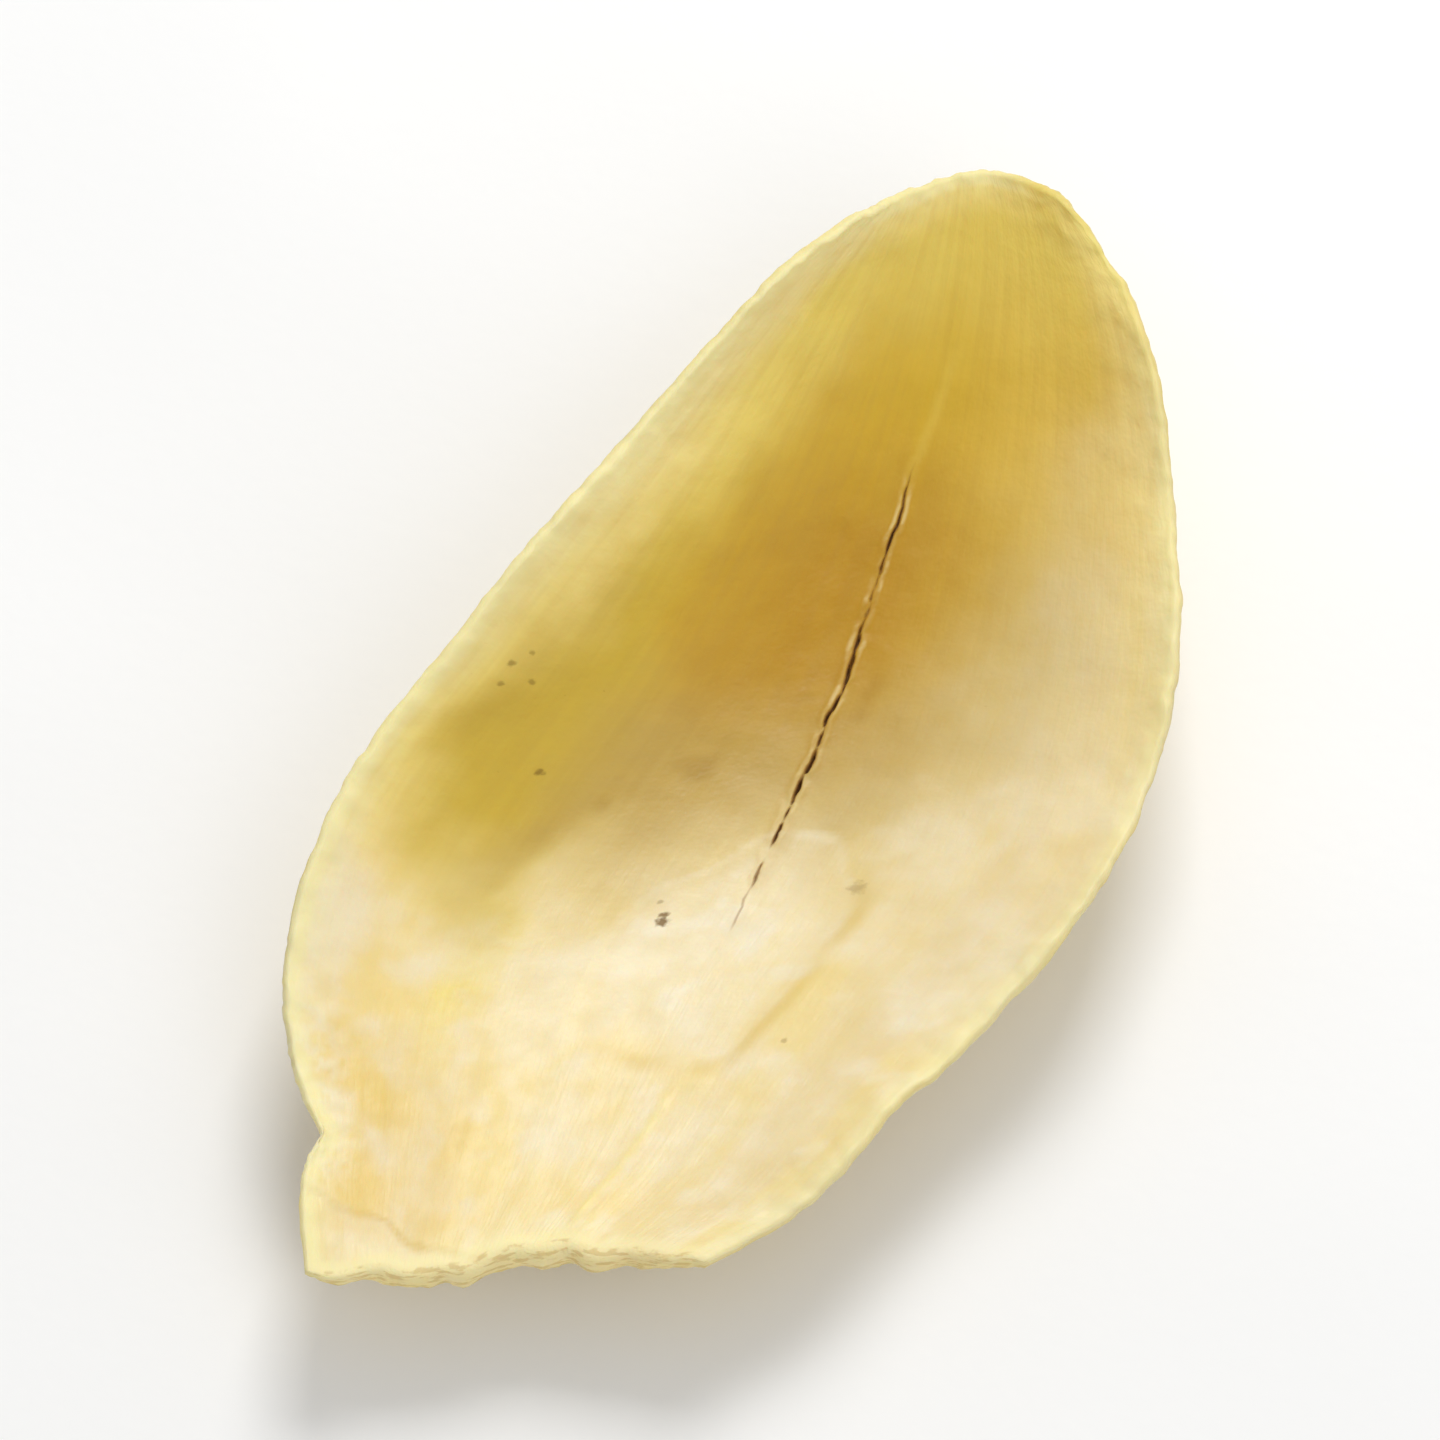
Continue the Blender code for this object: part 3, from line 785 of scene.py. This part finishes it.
def makeToneTree():
    # slow patterns and their colours are worked out once for each point, so that the material stays light
    tree, entry = startTree("driedTones", tones)
    times, plus, minus, per, line, fade = sumsIn(tree)
    field = partial(namedField, tree)
    lay = partial(layOver, tree)
    along, across, hollow, creased, fold, layerEdge = (
        field(name) for name in ("along", "across", "onHollow", "dimpleCrease", "fold", "layerEdge"))
    back = minus(1.0, hollow)
    place = surfacePlace(tree, along, across, hollow)
    right, up, face = separated(tree, place)
    seed = entry["Seed"]

    def noiseOf(size, detail, shift, output="Fac"):
        return noise(tree, place, per(1.0, entry[size]), detail, plus(seed, shift), output)

    wander = vectorCalc(tree, "SUBTRACT", noiseOf("Wander Size", 3.0, 0.0, "Color"), (0.5, 0.5, 0.5))
    stretched = combined(tree, per(right, entry["Streak Width"]), per(up, entry["Streak Length"]), face)
    broadStreak = fade(noise(tree, stretched, 1.0, 3.0, plus(seed, 9.0)), 0.45, 0.62)
    cloud = fade(noiseOf("Cloud Size", 3.0, 29.0), 0.42, 0.66)
    patch = noiseOf("Patch Size", 2.0, 53.0)
    frayed = times(minus(patch, 0.5), 2.6)
    patch = fade(patch, 0.50, 0.68)

    # the places wander a little, so that no edge of a colour is straight
    wanderRight, wanderUp, wanderEdge = separated(tree, wander)
    wanderedAlong = line(wanderUp, 0.10, along)
    wanderedAcross = line(wanderRight, 0.30, across)
    shareAcross = line(wanderedAcross, 0.5, 0.5)
    rimEdge = line(wanderEdge, 0.4, field("toEdge"))

    def spotNear(spot, low, high):
        # a frayed spot given as along, across, half length and half width in millimetres
        spotAlong, spotAcross, length, width = spot
        upwards = per(minus(up, surfaceLong * spotAlong), length)
        sideways = per(minus(right, surfaceWide * spotAcross), width)
        away = calc(tree, "SQRT", line(upwards, upwards, times(sideways, sideways)))
        return fade(plus(away, frayed), high, low)

    # where the hollow is, and the parts of it
    beyondEnd = minus(wanderedAlong, curveThrough(tree, shareAcross, flesh["hollowEnd"]))
    beforeSide = minus(curveThrough(tree, wanderedAlong, flesh["hollowSide"]), shareAcross)
    inHollow = times(fade(beyondEnd, -0.05, 0.08), fade(beforeSide, -0.22, 0.12), hollow)
    around = times(fade(beyondEnd, -0.15, 0.05), fade(beforeSide, -0.26, 0.06), hollow)
    rightward = fade(shareAcross, 0.22, 0.40)
    tipwards = fade(wanderedAlong, 0.80, 0.97)
    steeper = line(fade(wanderedAlong, 0.60, 0.85), -0.11, shareAcross)
    middling = times(fade(steeper, 0.05, 0.26), fade(beforeSide, -0.14, 0.18))
    core = times(fade(shareAcross, 0.12, 0.42), fade(beforeSide, -0.06, 0.22), fade(beyondEnd, 0.0, 0.12))
    core = times(core, fade(wanderedAlong, 0.98, 0.82))
    leftLow = times(fade(shareAcross, 0.02, 0.12), fade(shareAcross, 0.28, 0.15))
    leftLow = times(leftLow, fade(wanderedAlong, 0.33, 0.42), fade(wanderedAlong, 0.80, 0.56), hollow)

    # the pale flesh of the walls and the base
    colour = mixColour(tree, fade(wanderedAcross, 0.25, 0.75), flesh["cream"], flesh["beige"])
    colour = lay(colour, "broadStreak", "streak", broadStreak)
    leftBase = times(fade(wanderedAcross, -0.28, -0.46), fade(wanderedAlong, 0.30, 0.16))
    colour = lay(colour, "leftBase", "gold", leftBase)
    leftLine = times(fade(wanderedAcross, -0.60, -0.50), fade(wanderedAcross, -0.38, -0.48))
    colour = lay(colour, "leftLine", "straw", leftLine, fade(wanderedAlong, 0.12, 0.26), hollow)
    colour = lay(colour, "cloud", "starch", cloud)
    colour = lay(colour, "patch", "starch", patch, fade(wanderedAlong, 0.42, 0.30))

    # painted shade, a dull yellow-brown, fading into the hollow from the right and from below; straw from the
    # left
    colour = lay(colour, "around", "khaki", around, rightward, fade(wanderedAlong, 0.86, 0.66, 0.4, 0.85))
    strawSide = calc(tree, "MAXIMUM", times(inHollow, minus(1.0, rightward)), times(inHollow, tipwards))
    colour = lay(colour, "strawSide", "straw", strawSide)
    # the amber core of the hollow is partly the flesh's own colour and partly painted shade, darkest in the
    # middle of the hollow
    deep = mixColour(tree, fade(wanderedAlong, 0.62, 0.46), flesh["amber"], flesh["clay"])
    deep = mixColour(tree, fade(wanderedAlong, 0.68, 0.84), deep, flesh["golden"])
    shallow = mixColour(tree, fade(wanderedAlong, 0.64, 0.50), flesh["golden"], flesh["clay"])
    colour = lay(colour, "shallow", shallow, inHollow, middling)
    colour = lay(colour, "deep", deep, inHollow, core)
    colour = lay(colour, "leftLow", "mustard", leftLow)
    rightUpper = times(fade(shareAcross, 0.50, 0.78), fade(wanderedAlong, 0.60, 0.76), hollow)
    colour = lay(colour, "rightUpper", "gold", rightUpper, fade(wanderedAlong, 1.0, 0.88))
    colour = lay(colour, "tip", "olive", tipwards, hollow)
    # lemon towards the upper margins: partly the thin flesh's own paler colour, partly painted light on the
    # upper left wall
    upper = times(fade(wanderedAlong, 0.44, 0.70), fade(wanderedAlong, 1.0, 0.90, 0.35, 1.0))
    towardsLitMargin = fade(calc(tree, "ABSOLUTE", wanderedAcross), 0.66, 0.92)
    colour = lay(colour, "margin", "lemon", towardsLitMargin, upper, fade(across, 0.2, 0.7, 0.9, 0.40), hollow)

    # the dimple is starchy and partly a painted highlight inside, with a pale edge above it and a yellow line
    # of painted shade along its crease
    fromDimple = line(wanderEdge, 0.20, field("fromDimple"))
    disc = times(fade(fromDimple, 1.06, 0.66), fade(patch, 0.0, 0.8, 0.6, 1.0), hollow)
    colour = lay(colour, "disc", "starch", disc)
    outlined = times(fade(fromDimple, 0.90, 0.98), fade(fromDimple, 1.04, 0.99), hollow)
    outlined = times(outlined, fade(creased, 0.75, 0.1), fade(along, 0.24, 0.32))
    colour = lay(colour, "outline", "starch", outlined, fade(patch, 0.1, 0.7, 0.25, 0.5))
    palePatch = 0.0
    for spot in flesh["palePatches"]:
        palePatch = calc(tree, "MAXIMUM", palePatch, spotNear(spot, 0.25, 1.25))
    colour = lay(colour, "palePatch", "starch", palePatch, hollow)
    # painted shade darkens the left of the base
    baseLeft = times(fade(wanderedAcross, -0.20, -0.50), fade(wanderedAlong, 0.24, 0.14), hollow)
    colour = lay(colour, "baseLeft", "stainTint", baseLeft, blend="MULTIPLY")
    # painted shade: a golden line along the dimple's crease
    crease = times(fade(fromDimple, 0.92, 1.02), fade(fromDimple, 1.18, 1.04), creased, hollow)
    colour = lay(colour, "crease", "golden", crease, fade(wanderRight, -0.14, 0.08, 0.25, 1.0))
    for spot in flesh["stains"]:
        colour = lay(colour, "stain", "stainTint", spotNear(spot, 0.0, 1.0), hollow, blend="MULTIPLY")

    # the back is yellower, with pale ribs, painted shade in the dips between its folds and painted light on
    # their tops
    backTone = mixColour(tree, times(broadStreak, 0.5), flesh["golden"], flesh["straw"])
    backTone = lay(backTone, "backRib", "cream", field("ribShare"))
    backTone = lay(backTone, "foldDip", "clay", fade(fold, 0.50, 0.34))
    backTone = lay(backTone, "foldTop", "starch", fade(fold, 0.52, 0.68))
    backTone = lay(backTone, "backCloud", "starch", cloud)
    colour = lay(colour, "back", backTone, back)

    # pale bands along the margin, the left one partly painted light, the scar at the nick, and the thin
    # layer, with painted shade along its edge, and the ridge at the base
    rimShare = minus(1.0, times(fade(across, 0.2, 0.7), fade(along, 0.75, 0.92, 0.4, 0.85)))
    colour = lay(colour, "rimBand", "rim", fade(rimEdge, 1.3, 0.1), rimShare, hollow)
    # partly the pale rim and partly painted light on the upper left margin
    leftBand = times(fade(rimEdge, 1.7, 0.3), fade(across, -0.5, -0.8), fade(along, 0.40, 0.60))
    colour = lay(colour, "leftBand", "rim", leftBand, hollow)
    colour = lay(colour, "scar", "starch", field("scar"))
    colour = lay(colour, "layer", "starch", fade(layerEdge, 0.003, -0.003), hollow)
    # painted shade: a golden line along the edge of the step where the layer came off
    layerLine = fade(calc(tree, "ABSOLUTE", layerEdge), 0.006, 0.0)
    colour = lay(colour, "layerLine", "golden", layerLine, fade(cloud, 0.1, 0.6, 0.2, 1.0), hollow)
    colour = lay(colour, "ridge", "straw", field("ridge"))

    # stained flesh beside the split, and a pale line that goes on above it
    opened = times(field("splitOpen"), hollow)
    colour = lay(colour, "besideSplit", "amber", fade(field("splitGap"), 0.7, 0.05), opened)
    above = times(fade(along, 0.73, 0.77), fade(along, 0.88, 0.80), minus(1.0, opened), hollow)
    above = times(above, fade(field("toSplitLine"), 0.34, 0.02))
    colour = lay(colour, "aboveSplit", "straw", above, fade(patch, 0.1, 0.8, 0.16, 0.36))
    # painted shade darkens the small pits
    colour = lay(colour, "pit", "speckTint", field("pitShare"), blend="MULTIPLY")

    flecked = calc(tree, "MAXIMUM", leftLow, times(around, minus(1.0, core), 0.5))
    made = keepField(tree, entry["Geometry"], "tone", colour, "FLOAT_COLOR")
    kept = {
        "inHollow": inHollow, "cloud": cloud, "rimLine": times(fade(rimEdge, 0.34, 0.04), rimShare),
        "flecked": times(flecked, patch),
    }
    for name, field in kept.items():
        made = keepField(tree, made, name, field)
    return endTree(tree, made, entry["Flesh"])


def throughTrees(mesh, trees, material, name):
    rough = bpy.data.objects.new(name + "Rough", mesh)
    bpy.context.scene.collection.objects.link(rough)
    for tree, sizes in trees:
        modifier = rough.modifiers.new(tree.name, "NODES")
        modifier.node_group = tree
        values = {**sizes, "Flesh": material}
        for item in tree.interface.items_tree:
            if item.in_out == "INPUT" and item.name in values:
                modifier[item.identifier] = values[item.name]
    bpy.context.view_layer.update()
    ready = rough.evaluated_get(bpy.context.evaluated_depsgraph_get())
    made = bpy.data.meshes.new_from_object(ready)
    rough.modifiers.clear()
    bpy.data.objects.remove(rough)
    finished = bpy.data.objects.new(name, made)
    bpy.context.scene.collection.objects.link(finished)
    return finished


# Shader groups: each puts out one mask or height that changes over the surface

def startGroup(name, numbers, vectors=(), result="Mask"):
    group = bpy.data.node_groups.new(name, "ShaderNodeTree")
    for socket in vectors:
        group.interface.new_socket(socket, in_out="INPUT", socket_type="NodeSocketVector")
    for socket, value in numbers.items():
        made = group.interface.new_socket(socket, in_out="INPUT", socket_type="NodeSocketFloat")
        made.default_value = value
    group.interface.new_socket(result, in_out="OUTPUT", socket_type="NodeSocketFloat")
    return group, group.nodes.new("NodeGroupInput").outputs


def endGroup(group, value):
    group.links.new(value, group.nodes.new("NodeGroupOutput").inputs[0])
    layOut(group)
    return group


def makeStreakGroup():
    # streaks that run along the blade, from a place given in millimetres
    numbers = {"Width": 0.5, "Length": 9.0, "Low": 0.4, "High": 0.65, "Seed": 0.0}
    group, entry = startGroup("veinStreaks", numbers, ["Place"])
    right, up, face = separated(group, entry["Place"])
    per = partial(calc, group, "DIVIDE")
    stretched = combined(group, per(right, entry["Width"]), per(up, entry["Length"]), face)
    found = noise(group, stretched, 1.0, 3.0, entry["Seed"])
    return endGroup(group, remap(group, found, entry["Low"], entry["High"]))


def makeCloudGroup():
    # soft patches of a given size in millimetres
    group, entry = startGroup("cloudPatches", {"Size": 4.0, "Low": 0.4, "High": 0.65, "Seed": 0.0}, ["Place"])
    found = noise(group, entry["Place"], calc(group, "DIVIDE", 1.0, entry["Size"]), 3.0, entry["Seed"])
    return endGroup(group, remap(group, found, entry["Low"], entry["High"]))


def makeSpotGroup():
    # one spot round a centre, in millimetres. Ragged is a pattern about 0 that frays its edge
    numbers = {"Ragged": 0.0, "Radius": 0.3, "Softness": 0.5, "Raggedness": 0.3}
    group, entry = startGroup("stainSpot", numbers, ["Place", "Centre"])
    away = vectorCalc(group, "DISTANCE", entry["Place"], entry["Centre"])
    fraying = calc(group, "MULTIPLY", entry["Radius"], entry["Raggedness"])
    away = calc(group, "MULTIPLY_ADD", entry["Ragged"], fraying, away)
    inner = calc(group, "MULTIPLY", entry["Radius"], calc(group, "SUBTRACT", 1.0, entry["Softness"]))
    return endGroup(group, calc(group, "SUBTRACT", 1.0, remap(group, away, inner, entry["Radius"])))


def makeGrainGroup():
    # height of the skin's fine grain: hair-thin furrows along the blade and small dents
    group, entry = startGroup("skinGrain", {"Furrows": 0.6, "Dents": 0.4}, ["Place"], result="Height")
    times = partial(calc, group, "MULTIPLY")
    right, up, face = separated(group, entry["Place"])
    stretched = combined(group, times(right, 5.0), times(up, 0.7), face)
    furrows = times(noise(group, stretched, 1.0, 2.0, 7.0), entry["Furrows"])
    dents = times(noise(group, entry["Place"], 3.2, 1.0, 17.0), entry["Dents"])
    return endGroup(group, calc(group, "ADD", furrows, dents))


def makeFleshMaterial():
    # the fine patterns are laid over the tones that the mesh brings along
    material = bpy.data.materials.new("driedFlesh")
    material.use_nodes = True
    tree = material.node_tree
    shader = tree.nodes["Principled BSDF"]

    def attribute(name, output="Fac"):
        return addNode(tree, "ShaderNodeAttribute", attribute_name=name).outputs[output]

    def grouped(group, inputs):
        return addNode(tree, "ShaderNodeGroup", {**inputs, "Place": place}, node_tree=group).outputs[0]

    times = chained(tree, "MULTIPLY")
    line = partial(calc, tree, "MULTIPLY_ADD")
    fade = partial(remap, tree)
    lay = partial(layOver, tree)
    along, across, hollow = (attribute(name) for name in ("along", "across", "onHollow"))
    inHollow, cloud, rimLine = (attribute(name) for name in ("inHollow", "cloud", "rimLine"))
    splitGap = attribute("splitGap")
    flange = line(inHollow, -0.8, 1.0)
    place = surfacePlace(tree, along, across, hollow)
    streaks = grouped(makeStreakGroup(), flesh["fineStreaks"])
    smallClouds = grouped(makeCloudGroup(), flesh["smallClouds"])

    # fine streaks and small clouds over the slow tones
    colour = attribute("tone", "Color")
    colour = lay(colour, "fineStreak", "streak", streaks, line(hollow, -0.12, 0.26), flange)
    colour = lay(colour, "fibre", "fibreTint", streaks, inHollow, blend="MULTIPLY")
    colour = lay(colour, "smallCloud", "golden", smallClouds)
    colour = lay(colour, "rimLine", "rim", rimLine, line(hollow, 0.45, 0.25))
    torn = times(fade(along, 0.004, 0.000), fade(smallClouds, 0.35, 0.8, 0.1, 1.0))
    colour = lay(colour, "torn", "tornBrown", torn)

    # the split: pale lips, a brown edge, a dark inside and a hairline at its lower end
    opened = times(attribute("splitOpen"), hollow)
    lips = times(fade(splitGap, 0.03, 0.10), fade(splitGap, 0.26, 0.12), opened)
    colour = lay(colour, "lips", "cream", lips, fade(smallClouds, 0.2, 0.8, 0.1, 0.45))
    colour = lay(colour, "splitEdge", "crackBrown", fade(splitGap, 0.06, 0.0), opened)
    dark = times(fade(splitGap, 0.0, -0.035), opened)
    colour = lay(colour, "splitDark", "splitBrown", dark)
    below = times(fade(along, 0.335, 0.350), fade(along, 0.39, 0.37), hollow)
    colour = lay(colour, "belowSplit", "crackBrown", below, fade(attribute("toSplitLine"), 0.07, 0.01))

    # tiny flecks and the larger specks
    ragged = calc(tree, "SUBTRACT", noise(tree, place, 4.6, 2.0, 3.0), 0.5)
    flecks = times(fade(ragged, 0.19, 0.27), attribute("flecked"))
    colour = lay(colour, "fleck", "stainTint", flecks, blend="MULTIPLY")
    spotGroup = makeSpotGroup()
    for spotAlong, spotAcross, radius, strength in flesh["specks"]:
        centre = (surfaceWide * spotAcross, surfaceLong * spotAlong, 0.0)
        spot = {"Centre": centre, "Ragged": ragged, "Radius": radius}
        speck = grouped(spotGroup, {**spot, **flesh["speckEdge"]})
        colour = lay(colour, "speck", "speckTint", speck, strength, blend="MULTIPLY")
    tree.links.new(colour, shader.inputs["Base Color"])

    # finish: the hollow is horny and shines a little, starchy places and the rim are dull
    dull = flesh["roughness"]
    for mask, name in (
        (smallClouds, "smallClouds"), (rimLine, "rimLine"), (inHollow, "inHollow"),
        (cloud, "cloud"), (streaks, "streaks"),
    ):
        dull = line(mask, flesh["roughnessChanges"][name], dull)
    dull = calc(tree, "MAXIMUM", dull, times(dark, flesh["splitRoughness"]))
    tree.links.new(dull, shader.inputs["Roughness"])
    shader.inputs["Specular IOR Level"].default_value = flesh["specular"]
    shader.inputs["Subsurface Weight"].default_value = flesh["subsurface"]
    shader.inputs["Subsurface Radius"].default_value = flesh["subsurfaceRadius"]
    shader.inputs["Subsurface Scale"].default_value = flesh["subsurfaceScale"]

    height = grouped(makeGrainGroup(), {"Furrows": line(flange, 0.38, 0.2), "Dents": flesh["grainDents"]})
    bumped = addNode(tree, "ShaderNodeBump", {"Height": height, "Distance": flesh["grainHeight"]})
    tree.links.new(bumped.outputs["Normal"], shader.inputs["Normal"])
    layOut(tree)
    return material


fleshMaterial = makeFleshMaterial()
trees = [(makeReliefTree(), relief), (makeToneTree(), tones)]
slicePiece = throughTrees(bladeMesh, trees, fleshMaterial, "lilySlice")
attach(slicePiece, "root")
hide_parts(node)
print("slice finished:", len(slicePiece.data.polygons), "faces")


# Floor, lights and camera

studio = {
    "floorColour": (0.95, 0.95, 0.94, 1.0),
    "floorShade": (0.92, 0.92, 0.91, 1.0),
    "floorSize": 3.0,
    "floorRoughness": (0.52, 0.64),
    "mottleScale": 45.0,
    "paperScale": 1400.0,
    "paperHeight": 0.01 * mm,
    "worldStrength": 0.53,
    # right of the camera's line, away from it, up, size and power
    "key": (0.06, 0.31, 0.35, 0.20, 1.20),
    "fill": (0.20, -0.26, 0.30, 0.35, 0.35),
    "azimuth": 22.0,
    "elevation": 62.0,
    "distance": 0.30,
    "frameWidth": 51.5 * mm,
    "aimRight": -1.66 * mm,
    "aimUp": 1.66 * mm,
}


def makeFloor():
    bpy.ops.mesh.primitive_plane_add(size=studio["floorSize"])
    floor = bpy.context.object
    floor.name = "floor"
    material = bpy.data.materials.new("palePaper")
    material.use_nodes = True
    tree = material.node_tree
    shader = tree.nodes["Principled BSDF"]
    place = tree.nodes.new("ShaderNodeTexCoord").outputs["Object"]
    mottled = noise(tree, place, studio["mottleScale"], 1.0, 1.0)
    colour = mixColour(tree, mottled, studio["floorColour"], studio["floorShade"])
    tree.links.new(colour, shader.inputs["Base Color"])
    tree.links.new(remap(tree, mottled, 0.3, 0.7, *studio["floorRoughness"]), shader.inputs["Roughness"])
    paperGrain = noise(tree, place, studio["paperScale"], 1.0, 6.0)
    fibres = addNode(tree, "ShaderNodeBump", {"Height": paperGrain, "Distance": studio["paperHeight"]})
    tree.links.new(fibres.outputs["Normal"], shader.inputs["Normal"])
    layOut(tree)
    floor.data.materials.append(material)


turn = math.radians(studio["azimuth"])
rise = math.radians(studio["elevation"])
toRight = Vector((math.cos(turn), math.sin(turn), 0))
toBack = Vector((-math.sin(turn), math.cos(turn), 0))
toCamera = Vector((math.sin(turn) * math.cos(rise), -math.cos(turn) * math.cos(rise), math.sin(rise)))


def makeLight(name, right, away, up, size, power):
    data = bpy.data.lights.new(name, "AREA")
    data.size = size
    data.energy = power
    light = bpy.data.objects.new(name, data)
    light.location = toRight * right + toBack * away + Vector((0, 0, up))
    light.rotation_euler = light.location.to_track_quat("Z", "Y").to_euler()
    bpy.context.scene.collection.objects.link(light)


def makeCamera():
    data = bpy.data.cameras.new("camera")
    data.sensor_width = 36.0
    data.lens = data.sensor_width * studio["distance"] / studio["frameWidth"]
    data.clip_start = 0.01
    camera = bpy.data.objects.new("camera", data)
    low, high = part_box(node)
    upward = toCamera.cross(toRight)
    aim = (low + high) / 2 + toRight * studio["aimRight"] + upward * studio["aimUp"]
    camera.location = aim + toCamera * studio["distance"]
    camera.rotation_euler = toCamera.to_track_quat("Z", "Y").to_euler()
    bpy.context.scene.collection.objects.link(camera)
    bpy.context.scene.camera = camera


makeFloor()
makeLight("key", *studio["key"])
makeLight("fill", *studio["fill"])
makeCamera()
world = bpy.data.worlds.new("studioWhite")
world.use_nodes = True
world.node_tree.nodes["Background"].inputs["Color"].default_value = (1.0, 1.0, 1.0, 1.0)
world.node_tree.nodes["Background"].inputs["Strength"].default_value = studio["worldStrength"]
bpy.context.scene.world = world
bpy.context.scene.view_settings.view_transform = "Standard"
print("studio made")
